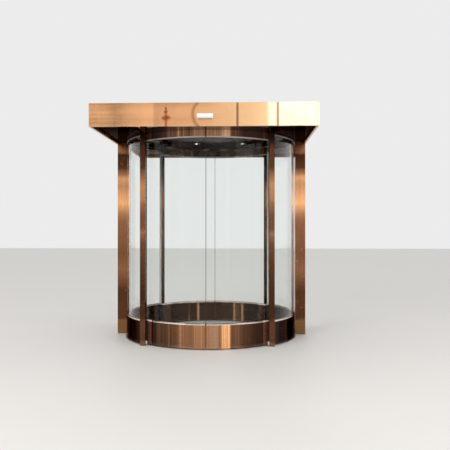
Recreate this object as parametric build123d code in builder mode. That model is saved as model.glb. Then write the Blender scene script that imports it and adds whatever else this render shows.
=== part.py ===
from build123d import *
from math import acos, asin, cos, degrees, radians, sin
import os

# Round door drum under a portal canopy, in millimetres.
# Two fixed curved glass walls stand left and right of the drum's axis. The
# openings at the front and at the rear are closed by pairs of curved glass
# leaves, which hang from a ring track in the canopy and slide round the axis,
# inside the fixed walls. The origin is on the floor at the drum's axis, +Z is
# up, the street is at -Y and the building at +Y.

os.makedirs("parts", exist_ok=True)

# Fixed curved walls
wall_radius = 1150.0
wall_thickness = 50.0
wall_glass_setback = 13.0
wall_joint = 2.0
plinth_top = 312.0
rail_bevel = 10.0

# Glass and the channels that hold it
glass_thickness = 12.0
glass_bite = 25.0
glass_play = 0.5

# Floor ring under the drum
floor_ring_height = 8.0
floor_ring_lip = 18.0

# Curved sliding leaves
running_gap = 15.0
leaf_thickness = 44.0
leaf_floor_gap = 7.0
leaf_lap = 32.0
meeting_gap = 6.0
leaf_head_show = 88.0
leaf_head_rise = 25.0

# Posts beside the openings
opening_width = 1540.0
post_width = 66.0
post_depth = 80.0
post_leaf_gap = 6.0
tube_wall = 5.0
trim_angle = 4.0

# Jamb columns on the facade line
column_width = 136.0
column_depth = 150.0
column_front = 25.0
column_gap = 10.0

# Canopy
soffit_height = 2640.0
soffit_thickness = 12.0
ceiling_rise = 40.0
ceiling_thickness = 12.0
ceiling_joint = 2.0
canopy_reach = 1525.0
fascia_drop = 30.0
fascia_thickness = 25.0
fascia_joint = 24.0
fascia_joint_depth = 12.0
fascia_seam = 2.0
roof_thickness = 20.0
fascia_joints_x = (385.0, 835.0)
fascia_seam_x = -420.0

# Head channel that holds the fixed glass under the soffit
head_channel_height = 28.0
head_channel_wall = 8.0

# Ceiling hangers
hanger_side = 40.0
hanger_offset = 600.0

# Ring track on its hangers, and the trucks that carry the leaves
track_gap = 59.0
track_thickness = 10.0
track_edge_gap = 6.0
track_rim = 10.0
track_hanger_count = 8
track_hanger_side = 30.0
track_hanger_height = 121.0
roller_diameter = 38.0
roller_width = 16.0
roller_clearance = 0.3
roller_hanger_gap = 8.0
truck_length = 80.0
truck_plate = 8.0
truck_foot = 38.0
truck_rim = 6.0
truck_inset = 130.0

# Floor guides at the post feet
guide_width = 18.0
guide_depth = 24.0
guide_height = 45.0
guide_leaf_gap = 8.0

# Downlights under the drum's ceiling
lamp_radius = 45.0
lamp_thickness = 10.0
lamp_places = [(-230.0, 320.0), (434.0, 320.0)]

# Sensor boxes on the fascias
sensor_width = 178.0
sensor_height = 54.0
sensor_depth = 40.0
sensor_rise = 82.0
sensor_offset = 22.0
sensor_slope = 14.0
sensor_round = 6.0

# Sizes that follow
wall_inner = wall_radius - wall_thickness
wall_glass_outer = wall_radius - wall_glass_setback
wall_glass_inner = wall_glass_outer - glass_thickness
leaf_outer = wall_inner - running_gap
leaf_inner = leaf_outer - leaf_thickness
leaf_middle = (leaf_outer + leaf_inner) / 2
leaf_glass_outer = leaf_middle + glass_thickness / 2
leaf_glass_inner = leaf_middle - glass_thickness / 2
leaf_low = floor_ring_height + leaf_floor_gap
leaf_head_low = soffit_height - leaf_head_show
leaf_head_top = soffit_height + leaf_head_rise
post_inside = opening_width / 2
post_face = ((leaf_outer + post_leaf_gap) ** 2 - post_inside ** 2) ** 0.5
post_outside = post_inside + post_width
post_x = post_inside + post_width / 2
post_y = post_face + post_depth / 2
column_inside = wall_radius + column_gap
column_middle_x = column_inside + column_width / 2
column_middle_y = column_depth / 2 - column_front
canopy_half_width = column_inside + column_width
soffit_hole = leaf_outer + running_gap
ceiling_radius = leaf_inner - running_gap
ceiling_height = soffit_height + ceiling_rise
truck_face = leaf_middle - truck_plate / 2
track_outer = truck_face - track_edge_gap
hanger_reach = truck_face - roller_width - roller_hanger_gap
track_hanger_middle = (hanger_reach ** 2 - (track_hanger_side / 2) ** 2) ** 0.5 - track_hanger_side / 2
track_inner = track_hanger_middle - track_hanger_side / 2 - track_rim
track_low = leaf_head_top + track_gap
track_top = track_low + track_thickness
axle_height = track_top + roller_clearance + roller_diameter / 2
truck_top = axle_height + roller_diameter / 2 + truck_rim
roof_low = track_top + track_hanger_height
fascia_low = soffit_height - fascia_drop
fascia_top = roof_low + roof_thickness
sensor_low = fascia_low + sensor_rise
leaf_start_angle = degrees(meeting_gap / 2 / leaf_outer)
leaf_end_angle = degrees(asin((post_inside + leaf_lap) / leaf_outer))
wall_start_angle = degrees(acos(post_face / wall_inner)) - trim_angle
wall_end_angle = 90 - degrees(wall_joint / 2 / wall_radius)


def radial_plane(angle):
    # Upright plane through the axis, at an angle turned from -Y towards +X.
    turn = radians(angle - 90)
    outward = (cos(turn), sin(turn), 0)
    sideways = (sin(turn), -cos(turn), 0)
    return Plane(origin=(0, 0, 0), x_dir=outward, z_dir=sideways)


def in_quarter(piece, end, side):
    # Every quarter piece is drawn at the front right and mirrored from there.
    shape = piece
    if side == "left":
        with BuildPart() as sideways:
            mirror(shape, about=Plane.YZ)
        shape = sideways.part
    if end == "rear":
        with BuildPart() as backwards:
            mirror(shape, about=Plane.XZ)
        shape = backwards.part
    return shape


def save(piece, name):
    piece.label = name
    export_step(piece, "parts/" + name + ".step")


def bottom_rail(inner, outer, low, glass_inner, glass_outer, start, end):
    # Curved kick rail with a bevelled outer edge and a groove for the glass.
    groove_floor = plinth_top - glass_bite
    with BuildPart() as rail:
        with BuildSketch(radial_plane(start)):
            with BuildLine():
                Polyline(
                    (inner, low),
                    (outer, low),
                    (outer, plinth_top - rail_bevel),
                    (outer - rail_bevel, plinth_top),
                    (glass_outer + glass_play, plinth_top),
                    (glass_outer + glass_play, groove_floor),
                    (glass_inner - glass_play, groove_floor),
                    (glass_inner - glass_play, plinth_top),
                    (inner, plinth_top),
                    close=True,
                )
            make_face()
        revolve(axis=Axis.Z, revolution_arc=end - start)
    return rail.part


def curved_sheet(inner, outer, low, high, start, end):
    # Upright curved sheet between two radii.
    with BuildPart() as sheet:
        with BuildSketch(radial_plane(start)):
            with Locations(((inner + outer) / 2, (low + high) / 2)):
                Rectangle(outer - inner, high - low)
        revolve(axis=Axis.Z, revolution_arc=end - start)
    return sheet.part


def to_post(piece):
    # The fixed walls end flat against the face of the post.
    with BuildPart() as trimmed:
        add(piece)
        split(bisect_by=Plane.XZ.offset(post_face), keep=Keep.BOTTOM)
    return trimmed.part


# Floor ring: it reaches past the fixed walls by its lip, steps back to the
# leaves between the posts, and is notched round the posts and jamb columns
ring_outer = wall_radius + floor_ring_lip
step_depth = ring_outer - post_face
with BuildPart() as floor_ring:
    with BuildSketch():
        Circle(ring_outer)
        with GridLocations(0, 2 * post_face + step_depth, 1, 2):
            Rectangle(2 * post_outside, step_depth, mode=Mode.SUBTRACT)
        Circle(wall_inner + floor_ring_lip)
        Circle(leaf_inner - running_gap, mode=Mode.SUBTRACT)
        with GridLocations(2 * post_x, 2 * post_y, 2, 2):
            Rectangle(post_width, post_depth, mode=Mode.SUBTRACT)
        with Locations((-column_middle_x, column_middle_y), (column_middle_x, column_middle_y)):
            Rectangle(column_width, column_depth, mode=Mode.SUBTRACT)
    extrude(amount=floor_ring_height)
save(floor_ring.part, "floor_ring")

# Posts: rectangular tubes from the floor to the soffit
with BuildPart() as post:
    with BuildSketch():
        with Locations((post_x, -post_y)):
            Rectangle(post_width, post_depth)
            Rectangle(post_width - 2 * tube_wall, post_depth - 2 * tube_wall, mode=Mode.SUBTRACT)
    extrude(amount=soffit_height)

# Fixed wall plinths, glass and head channels
plinth = to_post(
    bottom_rail(wall_inner, wall_radius, floor_ring_height, wall_glass_inner, wall_glass_outer,
                wall_start_angle, wall_end_angle)
)
wall_glass = to_post(
    curved_sheet(wall_glass_inner, wall_glass_outer, plinth_top - glass_bite,
                 soffit_height - head_channel_wall, wall_start_angle, wall_end_angle)
)


def head_channel():
    # U channel, open downwards, that takes the top edge of the fixed glass.
    low = soffit_height - head_channel_height
    inner = wall_glass_inner - glass_play
    outer = wall_glass_outer + glass_play
    with BuildPart() as channel:
        with BuildSketch(radial_plane(wall_start_angle)):
            with BuildLine():
                Polyline(
                    (inner - head_channel_wall, low),
                    (inner, low),
                    (inner, soffit_height - head_channel_wall),
                    (outer, soffit_height - head_channel_wall),
                    (outer, low),
                    (outer + head_channel_wall, low),
                    (outer + head_channel_wall, soffit_height),
                    (inner - head_channel_wall, soffit_height),
                    close=True,
                )
            make_face()
        revolve(axis=Axis.Z, revolution_arc=wall_end_angle - wall_start_angle)
    return to_post(channel.part)


channel_piece = head_channel()

# Leaf pieces, closed position
leaf_rail = bottom_rail(leaf_inner, leaf_outer, leaf_low, leaf_glass_inner, leaf_glass_outer,
                        leaf_start_angle, leaf_end_angle)
leaf_glass = curved_sheet(leaf_glass_inner, leaf_glass_outer, plinth_top - glass_bite,
                          leaf_head_low + glass_bite, leaf_start_angle, leaf_end_angle)


def head_rail():
    # Curved top rail: a bevelled outer edge below and a groove for the glass.
    groove_top = leaf_head_low + glass_bite
    with BuildPart() as rail:
        with BuildSketch(radial_plane(leaf_start_angle)):
            with BuildLine():
                Polyline(
                    (leaf_inner, leaf_head_top),
                    (leaf_inner, leaf_head_low),
                    (leaf_glass_inner - glass_play, leaf_head_low),
                    (leaf_glass_inner - glass_play, groove_top),
                    (leaf_glass_outer + glass_play, groove_top),
                    (leaf_glass_outer + glass_play, leaf_head_low),
                    (leaf_outer - rail_bevel, leaf_head_low),
                    (leaf_outer, leaf_head_low + rail_bevel),
                    (leaf_outer, leaf_head_top),
                    close=True,
                )
            make_face()
        revolve(axis=Axis.Z, revolution_arc=leaf_end_angle - leaf_start_angle)
    return rail.part


def truck(angle):
    # A foot on the leaf's head, a plate up past the edge of the track, and a
    # roller on the plate that runs on top of the track.
    across = radial_plane(angle)
    level = Plane(origin=across.x_dir * leaf_middle, x_dir=across.x_dir, z_dir=(0, 0, 1))
    axle_middle = across.x_dir * truck_face + Vector(0, 0, axle_height)
    axle_plane = Plane(origin=axle_middle, x_dir=(0, 0, 1), z_dir=across.x_dir)
    with BuildPart() as unit:
        with BuildSketch(level.offset(leaf_head_top)):
            Rectangle(truck_foot, truck_length)
        extrude(amount=truck_plate)
        with BuildSketch(level.offset(leaf_head_top)):
            Rectangle(truck_plate, truck_length)
        extrude(amount=truck_top - leaf_head_top)
        with BuildSketch(axle_plane):
            Circle(roller_diameter / 2)
        extrude(amount=-roller_width)
    return unit.part


leaf_head = head_rail()
truck_angle_inset = degrees(truck_inset / leaf_middle)
with BuildPart() as leaf_trucks:
    add(truck(leaf_start_angle + truck_angle_inset))
    add(truck(leaf_end_angle - truck_angle_inset))

for end in ("front", "rear"):
    for side in ("left", "right"):
        place = end + "_" + side
        save(in_quarter(post.part, end, side), "post_" + place)
        save(in_quarter(plinth, end, side), "wall_plinth_" + place)
        save(in_quarter(wall_glass, end, side), "wall_glass_" + place)
        save(in_quarter(leaf_rail, end, side), "leaf_bottom_rail_" + place)
        save(in_quarter(leaf_glass, end, side), "leaf_glass_" + place)
        save(in_quarter(leaf_head, end, side), "leaf_top_rail_" + place)
        save(in_quarter(leaf_trucks.part, end, side), "leaf_trucks_" + place)

# Head channels of both walls
with BuildPart() as wall_heads:
    for end in ("front", "rear"):
        for side in ("left", "right"):
            add(in_quarter(channel_piece, end, side))
save(wall_heads.part, "wall_head_channels")

# Floor guides beside the posts, which keep the leaves from swinging out
guide_x = post_inside - guide_width / 2
guide_near_x = post_inside - guide_width
guide_near = ((leaf_outer + guide_leaf_gap) ** 2 - guide_near_x ** 2) ** 0.5
with BuildPart() as floor_guides:
    with BuildSketch(Plane.XY.offset(floor_ring_height)):
        with GridLocations(2 * guide_x, 2 * guide_near + guide_depth, 2, 2):
            Rectangle(guide_width, guide_depth)
    extrude(amount=guide_height)
save(floor_guides.part, "floor_guides")

# Jamb columns: rectangular tubes from the floor to the soffit
for side, sign in (("left", -1), ("right", 1)):
    with BuildPart() as column:
        with BuildSketch():
            with Locations((sign * column_middle_x, column_middle_y)):
                Rectangle(column_width, column_depth)
                Rectangle(column_width - 2 * tube_wall, column_depth - 2 * tube_wall, mode=Mode.SUBTRACT)
        extrude(amount=soffit_height)
    save(column.part, "jamb_column_" + side)

# Soffit: a front and a rear plate with a round hole for the leaves
inside_width = 2 * (canopy_half_width - fascia_thickness)
inside_depth = canopy_reach - fascia_thickness
for end, sign in (("front", -1), ("rear", 1)):
    with BuildPart() as soffit:
        with BuildSketch(Plane.XY.offset(soffit_height)):
            with Locations((0, sign * inside_depth / 2)):
                Rectangle(inside_width, inside_depth)
            Circle(soffit_hole, mode=Mode.SUBTRACT)
        extrude(amount=soffit_thickness)
    save(soffit.part, "soffit_" + end)

# Ceiling of the drum: two half-round plates on two hangers each
with BuildPart() as drum_ceiling:
    with BuildSketch(Plane.XY.offset(ceiling_height)):
        Circle(ceiling_radius)
        Rectangle(ceiling_joint, 2 * ceiling_radius, mode=Mode.SUBTRACT)
    extrude(amount=ceiling_thickness)
    with BuildSketch(Plane.XY.offset(ceiling_height + ceiling_thickness)):
        with PolarLocations(hanger_offset, 4, start_angle=45):
            Rectangle(hanger_side, hanger_side)
    extrude(amount=roof_low - ceiling_height - ceiling_thickness)
save(drum_ceiling.part, "drum_ceiling")

# Downlights: flat round lamps under the ceiling
with BuildPart() as downlights:
    with BuildSketch(Plane.XY.offset(ceiling_height - lamp_thickness)):
        with Locations(*lamp_places):
            Circle(lamp_radius)
    extrude(amount=lamp_thickness)
save(downlights.part, "downlights")

# Ring track: a flat ring that the rollers run on, hung from the roof deck
with BuildPart() as ring_track:
    with BuildSketch(Plane.XY.offset(track_low)):
        Circle(track_outer)
        Circle(track_inner, mode=Mode.SUBTRACT)
    extrude(amount=track_thickness)
    with BuildSketch(Plane.XY.offset(track_top)):
        with PolarLocations(track_hanger_middle, track_hanger_count, start_angle=180 / track_hanger_count):
            Rectangle(track_hanger_side, track_hanger_side)
    extrude(amount=track_hanger_height)
save(ring_track.part, "ring_track")

# Roof deck
with BuildPart() as roof_deck:
    with BuildSketch(Plane.XY.offset(roof_low)):
        Rectangle(inside_width, 2 * inside_depth)
    extrude(amount=roof_thickness)
save(roof_deck.part, "roof_deck")

# Fascias: the street side has panels, parted by one narrow seam and by sunk
# joint strips, and the building side is one plain panel
fascia_height = fascia_top - fascia_low
fascia_middle = (fascia_top + fascia_low) / 2
with BuildPart() as front_fascia:
    with BuildSketch(Plane.XZ.offset(inside_depth)):
        with Locations((0, fascia_middle)):
            Rectangle(2 * canopy_half_width, fascia_height)
        with Locations((fascia_seam_x, fascia_middle)):
            Rectangle(fascia_seam, fascia_height, mode=Mode.SUBTRACT)
    extrude(amount=fascia_thickness)
    with BuildSketch(Plane.XZ.offset(canopy_reach)):
        with Locations(*[(joint_x, fascia_middle) for joint_x in fascia_joints_x]):
            Rectangle(fascia_joint, fascia_height)
    extrude(amount=-fascia_joint_depth, mode=Mode.SUBTRACT)
save(front_fascia.part, "fascia_front")
with BuildPart() as rear_fascia:
    with BuildSketch(Plane.XZ.offset(-canopy_reach)):
        with Locations((0, fascia_middle)):
            Rectangle(2 * canopy_half_width, fascia_height)
    extrude(amount=fascia_thickness)
save(rear_fascia.part, "fascia_rear")

# Canopy cheeks: the plain ends of the canopy, notched over the jamb columns
for side, sign in (("left", -1), ("right", 1)):
    with BuildPart() as cheek:
        with BuildSketch(Plane.XY.offset(fascia_low)):
            with Locations((sign * (canopy_half_width - fascia_thickness / 2), 0)):
                Rectangle(fascia_thickness, 2 * inside_depth)
        extrude(amount=fascia_height)
        with BuildSketch(Plane.XY.offset(fascia_low)):
            with Locations((sign * column_middle_x, column_middle_y)):
                Rectangle(column_width, column_depth)
        extrude(amount=soffit_height - fascia_low, mode=Mode.SUBTRACT)
    save(cheek.part, "canopy_cheek_" + side)

# Sensor boxes: the lower front edge slopes back towards the floor
with BuildPart() as sensor_box:
    with BuildSketch(Plane.YZ.offset(sensor_offset - sensor_width / 2)):
        with BuildLine():
            Polyline(
                (-canopy_reach, sensor_low),
                (-canopy_reach, sensor_low + sensor_height),
                (-canopy_reach - sensor_depth, sensor_low + sensor_height),
                (-canopy_reach - sensor_depth, sensor_low + sensor_slope),
                (-canopy_reach - sensor_depth + sensor_slope, sensor_low),
                close=True,
            )
        make_face()
    extrude(amount=sensor_width)
    front_edges = sensor_box.edges().filter_by(Axis.X).group_by(Axis.Y)[0]
    fillet(front_edges, radius=sensor_round)
save(in_quarter(sensor_box.part, "front", "right"), "door_sensor_front")
save(in_quarter(sensor_box.part, "rear", "right"), "door_sensor_rear")
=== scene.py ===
# %% [markdown]
# # A round glass door drum, dressed for its photograph
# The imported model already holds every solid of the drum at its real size: posts, plinths,
# curved panes, sliding leaves and the canopy. This lesson gives each of them its finish,
# adds the small things that a metal worker and a glazier would leave behind, and sets up
# a plain studio round it. Everything is in metres, with the origin on the floor at the
# drum's axis, the street at -Y and the building at +Y.

# %% Load the frame
import math
import bmesh
import bpy
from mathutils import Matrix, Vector


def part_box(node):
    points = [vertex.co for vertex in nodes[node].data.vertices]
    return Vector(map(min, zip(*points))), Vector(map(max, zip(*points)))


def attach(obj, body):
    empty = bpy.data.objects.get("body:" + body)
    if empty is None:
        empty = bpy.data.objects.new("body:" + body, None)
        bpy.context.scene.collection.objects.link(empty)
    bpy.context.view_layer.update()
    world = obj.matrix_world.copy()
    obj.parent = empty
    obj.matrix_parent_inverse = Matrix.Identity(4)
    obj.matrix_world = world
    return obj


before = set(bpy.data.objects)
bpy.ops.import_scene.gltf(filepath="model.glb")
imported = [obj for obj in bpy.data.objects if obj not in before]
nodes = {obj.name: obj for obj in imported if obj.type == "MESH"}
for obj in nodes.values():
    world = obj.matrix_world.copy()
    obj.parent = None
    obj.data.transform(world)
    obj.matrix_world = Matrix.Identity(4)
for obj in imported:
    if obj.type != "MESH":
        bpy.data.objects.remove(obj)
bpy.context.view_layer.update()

# %% [markdown]
# ## Camera
# The photograph was taken from eye height, a little to the right of the drum, and turned
# a touch to the left. The place and the lens come from fitting the drum's circles and
# posts to the picture, so the drum lands where the photograph has it.

# %% Camera
EYE = Vector((0.469, -8.022, 1.491))
TURN_LEFT, TILT_UP = 0.0344, 0.0012
LENS_MM, SENSOR_MM = 46.41, 36.0

scene = bpy.context.scene
camera_data = bpy.data.cameras.new("camera")
camera_data.lens = LENS_MM
camera_data.sensor_width = SENSOR_MM
camera = bpy.data.objects.new("camera", camera_data)
camera.location = EYE
camera.rotation_euler = (math.pi / 2 + TILT_UP, 0.0, TURN_LEFT)
scene.collection.objects.link(camera)
scene.camera = camera
scene.view_settings.view_transform = "Standard"
print("camera", [round(v, 3) for v in EYE])

# %% [markdown]
# ## Sizes read from the frame
# Nearly every piece here is bent round the drum's axis, so the sizes that matter are
# radii, turns round the axis and heights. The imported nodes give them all. A turn is
# counted from the street side, positive towards the right.

# %% Read the curved nodes
ENDS = ("front", "rear")
SIDES = ("left", "right")
PLACES = [end + "_" + side for end in ENDS for side in SIDES]
CURVED = ("wall_plinth_", "wall_glass_", "leaf_bottom_rail_", "leaf_glass_", "leaf_top_rail_")


def ring_sizes(name):
    points = [vertex.co for vertex in nodes[name].data.vertices]
    radii = [math.hypot(point.x, point.y) for point in points]
    turns = [math.atan2(point.x, -point.y) for point in points]
    heights = [point.z for point in points]
    return {
        "inner": min(radii), "outer": max(radii),
        "start": min(turns), "end": max(turns),
        "low": min(heights), "high": max(heights),
    }


rings = {kind + place: ring_sizes(kind + place) for place in PLACES for kind in CURVED}
PLINTH_TOP = rings["wall_plinth_front_right"]["high"]
HEAD_LOW = rings["leaf_top_rail_front_right"]["low"]
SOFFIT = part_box("soffit_front")[0].z
CHANNEL_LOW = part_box("wall_head_channels")[0].z
print("plinth top", round(PLINTH_TOP, 3), "leaf head", round(HEAD_LOW, 3), "soffit", round(SOFFIT, 3))
for kind in ("leaf_glass_", "wall_glass_"):
    print(kind, [round(math.degrees(rings[kind + "front_right"][k]), 2) for k in ("start", "end")])

# %% [markdown]
# ## Helpers for shader nodes
# A finish is a small calculation: places on the surface go in, colours and roughness come
# out. Each number on the way is a Value. A sum with it, such as a + b or a * b, puts the
# Math node that works it out into the same tree, so a finish reads as a list of steps.

# %% Values
class Value:
    # What one socket gives out: a number, a colour or a point.
    def __init__(self, socket):
        self.socket, self.tree = socket, socket.id_data

    def __add__(self, other):
        return calc("ADD", self, other)

    def __radd__(self, other):
        return calc("ADD", other, self)

    def __sub__(self, other):
        return calc("SUBTRACT", self, other)

    def __rsub__(self, other):
        return calc("SUBTRACT", other, self)

    def __mul__(self, other):
        return calc("MULTIPLY", self, other)

    def __truediv__(self, other):
        return calc("DIVIDE", self, other)

    def __rtruediv__(self, other):
        return calc("DIVIDE", other, self)

    def __abs__(self):
        return calc("ABSOLUTE", self)


def feed(socket, value):
    if isinstance(value, Value):
        value.tree.links.new(value.socket, socket)
    else:
        socket.default_value = value


def tree_of(*values):
    return next(value.tree for value in values if isinstance(value, Value))


def add_node(tree, kind, **inputs):
    node = tree.nodes.new("ShaderNode" + kind)
    for label, value in inputs.items():
        feed(node.inputs[label.replace("_", " ")], value)
    return node


def calc(operation, *values):
    node = add_node(tree_of(*values), "Math")
    node.operation = operation
    for socket, value in zip(node.inputs, values):
        feed(socket, value)
    return Value(node.outputs["Value"])


# %% [markdown]
# These helpers make soft steps, blends, noise and runs of colour. They also measure turns
# round the axis and distances.

# %% Steps, blends and noise
MIX_FACTOR, MIX_FIRST, MIX_SECOND, MIX_RESULT = 0, 6, 7, 2


def fade(value, low, high, to_low=0.0, to_high=1.0):
    # A soft step: to_low below the first value, to_high above the second.
    node = add_node(value.tree, "MapRange", Value=value, From_Min=low, From_Max=high,
                    To_Min=to_low, To_Max=to_high)
    node.interpolation_type = "SMOOTHSTEP"
    return Value(node.outputs["Result"])


def blend(mask, first, second, mode="MIX"):
    node = add_node(tree_of(mask, first, second), "Mix")
    node.data_type = "RGBA"
    node.blend_type = mode
    feed(node.inputs[MIX_FACTOR], mask)
    for place, colour in ((MIX_FIRST, first), (MIX_SECOND, second)):
        feed(node.inputs[place], (*colour, 1.0) if isinstance(colour, tuple) else colour)
    return Value(node.outputs[MIX_RESULT])


def noise(vector, scale, detail=2.0, warp=0.0):
    node = add_node(vector.tree, "TexNoise", Vector=vector, Scale=scale, Detail=detail, Distortion=warp)
    return Value(node.outputs["Fac"])


def noise_line(along, detail=2.0):
    # Noise that changes along one number only.
    node = add_node(along.tree, "TexNoise", Scale=1.0, Detail=detail)
    node.noise_dimensions = "1D"
    feed(node.inputs["W"], along)
    return Value(node.outputs["Fac"])


def parts_of(vector):
    node = add_node(vector.tree, "SeparateXYZ", Vector=vector)
    return [Value(output) for output in node.outputs]


def places(tree):
    # The point on the piece, whole and as x, y and z.
    where = Value(add_node(tree, "TexCoord").outputs["Object"])
    return where, *parts_of(where)


def stretch(x, y, z, factors):
    node = add_node(x.tree, "CombineXYZ", X=x * factors[0], Y=y * factors[1], Z=z * factors[2])
    return Value(node.outputs["Vector"])


def turn_degrees(x, y):
    return calc("DEGREES", calc("ARCTAN2", x, y * -1.0))


def distance(across, up):
    return calc("SQRT", calc("POWER", across, 2.0) + calc("POWER", up, 2.0))


def ramp(value, stops):
    # A soft run of colour through a list of places, from 0 to 1, and their colours.
    node = add_node(value.tree, "ValToRGB", Fac=value)
    elements = node.color_ramp.elements
    elements[0].position, elements[1].position = stops[0][0], stops[-1][0]
    for share, colour in stops[1:-1]:
        elements.new(share)
    for element, (share, colour) in zip(elements, stops):
        element.color = (*colour, 1.0)
    return Value(node.outputs["Color"])


# %% [markdown]
# A material starts as one Principled shader. Its look is then built from masks, and what
# is the same all over the surface is set on the shader's own sockets.

# %% Material helpers
def new_material(name, **settings):
    material = bpy.data.materials.new(name)
    material.use_nodes = True
    tree = material.node_tree
    tree.nodes.clear()
    output = add_node(tree, "OutputMaterial")
    shader = add_node(tree, "BsdfPrincipled", **settings)
    tree.links.new(shader.outputs["BSDF"], output.inputs["Surface"])
    return material, tree, shader


def set_look(shader, colour, roughness, relief, depth):
    # Relief is the height of the surface from 0 to 1, and depth what 1 means in metres.
    feed(shader.inputs["Base Color"], colour)
    feed(shader.inputs["Roughness"], roughness)
    bump = add_node(relief.tree, "Bump", Distance=depth, Height=relief)
    feed(shader.inputs["Normal"], Value(bump.outputs["Normal"]))


def dress(names, material):
    for name in names:
        slots = nodes[name].data.materials
        slots.clear()
        slots.append(material)


def start_group(name, inputs, outputs):
    group = bpy.data.node_groups.new(name, "ShaderNodeTree")
    for label, value in inputs.items():
        socket = group.interface.new_socket(label, in_out="INPUT", socket_type="NodeSocketFloat")
        socket.default_value = value
    for label in outputs:
        group.interface.new_socket(label, in_out="OUTPUT", socket_type="NodeSocketFloat")
    entry = group.nodes.new("NodeGroupInput")
    leave = group.nodes.new("NodeGroupOutput")
    return group, {label: Value(entry.outputs[label]) for label in inputs}, leave.inputs


def use(tree, group, **values):
    node = add_node(tree, "Group")
    node.node_tree = group
    for label, value in values.items():
        feed(node.inputs[label], value)
    return {output.name: Value(output) for output in node.outputs}


# %% [markdown]
# ## Effects that several finishes share
# Rolled and ground sheet, bent round a drum, never reflects evenly. It shows upright
# streaks, some a hand wide and some as thin as a pencil line. They are painted reflections:
# a noise that runs along the turn round the axis draws them into the colour, the same all
# the way up a sheet, and they ride along when a leaf slides.

# %% Streaks round the axis
FINER, FINE_WAVE = 9.0, 0.15
streaks, given, made = start_group(
    "painted_reflection_streaks", {"Width": 6.0, "Shift": 0.0}, ("Broad", "Fine", "Wave"))
where, x, y, z = places(streaks)
along = turn_degrees(x, y) / given["Width"] + given["Shift"]
broad = noise_line(along, 3.0)
fine = noise_line(along * FINER)
feed(made["Broad"], fade(broad, 0.36, 0.66))
feed(made["Fine"], fade(fine, 0.52, 0.78))
feed(made["Wave"], broad + fine * FINE_WAVE)
print("group", streaks.name)

# %% [markdown]
# The grinding itself leaves hairlines that run level along the sheet. They are far finer
# than the streaks, so they only feed the roughness and a very shallow bump.

# %% Hairlines
hairlines, given, made = start_group("hairlines", {"Pitch": 900.0, "Length": 5.0}, ("Line",))
where, x, y, z = places(hairlines)
grain = stretch(x, y, z, (given["Length"], given["Length"], given["Pitch"]))
feed(made["Line"], noise(grain, 1.0, 1.0))
print("group", hairlines.name)

# %% [markdown]
# Hands, cloths and rain leave soft patches on polished metal and glass. They hardly
# change the colour, but they do change the gloss.

# %% Smudges
SMALLER, LARGE_SHARE = 7.0, 0.8
smudges, given, made = start_group("smudges", {"Size": 0.2, "Shift": 0.0}, ("Patch",))
where, x, y, z = places(smudges)
moved = add_node(smudges, "VectorMath")
moved.operation = "ADD"
feed(moved.inputs[0], where)
feed(moved.inputs[1], given["Shift"])
spot = Value(moved.outputs["Vector"])
large = noise(spot, 1.0 / given["Size"], 3.0)
small = noise(spot, SMALLER / given["Size"])
feed(made["Patch"], fade(large * LARGE_SHARE + small * (1.0 - LARGE_SHARE), 0.47, 0.62))
print("group", smudges.name)

# %% [markdown]
# Street dust settles on what faces up and is splashed up from the floor. One group gives
# a mask for both: a ragged band up to a given height, and a thin cover on level faces.

# %% Dust
dust, given, made = start_group("dust", {"Height": 0.1, "Level": 0.5}, ("Cover",))
where, x, y, z = places(dust)
ragged = noise(where, 14.0, 4.0)
splash_top = given["Height"] * (ragged + 0.35)
splash = fade(z / splash_top, 0.2, 1.2, 1.0, 0.0)
facing = Value(add_node(dust, "NewGeometry").outputs["Normal"])
level = fade(parts_of(facing)[2], 0.7, 0.95)
settled = level * given["Level"] * fade(ragged, 0.3, 0.7, 0.4, 1.0)
feed(made["Cover"], calc("MAXIMUM", splash * ragged, settled))
print("group", dust.name)

# %% [markdown]
# Trolleys, shoes and cleaning pads scratch metal at floor height. A thin line of a warped
# noise, where it crosses its middle value, makes long stray scratches.

# %% Scratches
scratches, given, made = start_group("scratches", {"Size": 0.1, "Breadth": 0.012}, ("Line",))
where, x, y, z = places(scratches)
field = noise(stretch(x, y, z, (1.0, 3.0, 2.0)), 1.0 / given["Size"], warp=1.5)
thin = calc("LESS_THAN", abs(field - 0.5), given["Breadth"])
broken = fade(noise(where, 23.0), 0.5, 0.6)
feed(made["Line"], thin * broken)
print("group", scratches.name)

# %% [markdown]
# ## Bronze sheet on the rails and plinths
# The kick rails are wrapped in thin bronze-coloured stainless sheet with level hairlines.
# Such a finish smears a reflection upwards and downwards only, which Blender does with
# an anisotropic highlight whose tangent points up. The bevel that carries the glazing
# bead is bare, pinkish white metal, and shows as a bright line all round the drum. On a
# leaf the sheet is folded in where the next leaf meets it, and painted shade darkens the fold.

# %% Sheet tones
UP = (0.03, 0.02, 1.0)


def upright_tangent(shader):
    # A plain vector that points up, a little off upright so that level faces have one too.
    node = add_node(shader.id_data, "CombineXYZ", **dict(zip("XYZ", UP)))
    feed(shader.inputs["Tangent"], Value(node.outputs["Vector"]))


def sheet_tone(tone, colours):
    return ramp(tone, list(zip((0.0, 0.5, 1.0), colours)))


def tone_ramp(value, low, high, tones):
    # Joins a short list of places and tones into one soft run of tone between them.
    stops = [((place - low) / (high - low), (tone, tone, tone)) for place, tone in tones]
    return ramp((value - low) / (high - low), stops)
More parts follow.
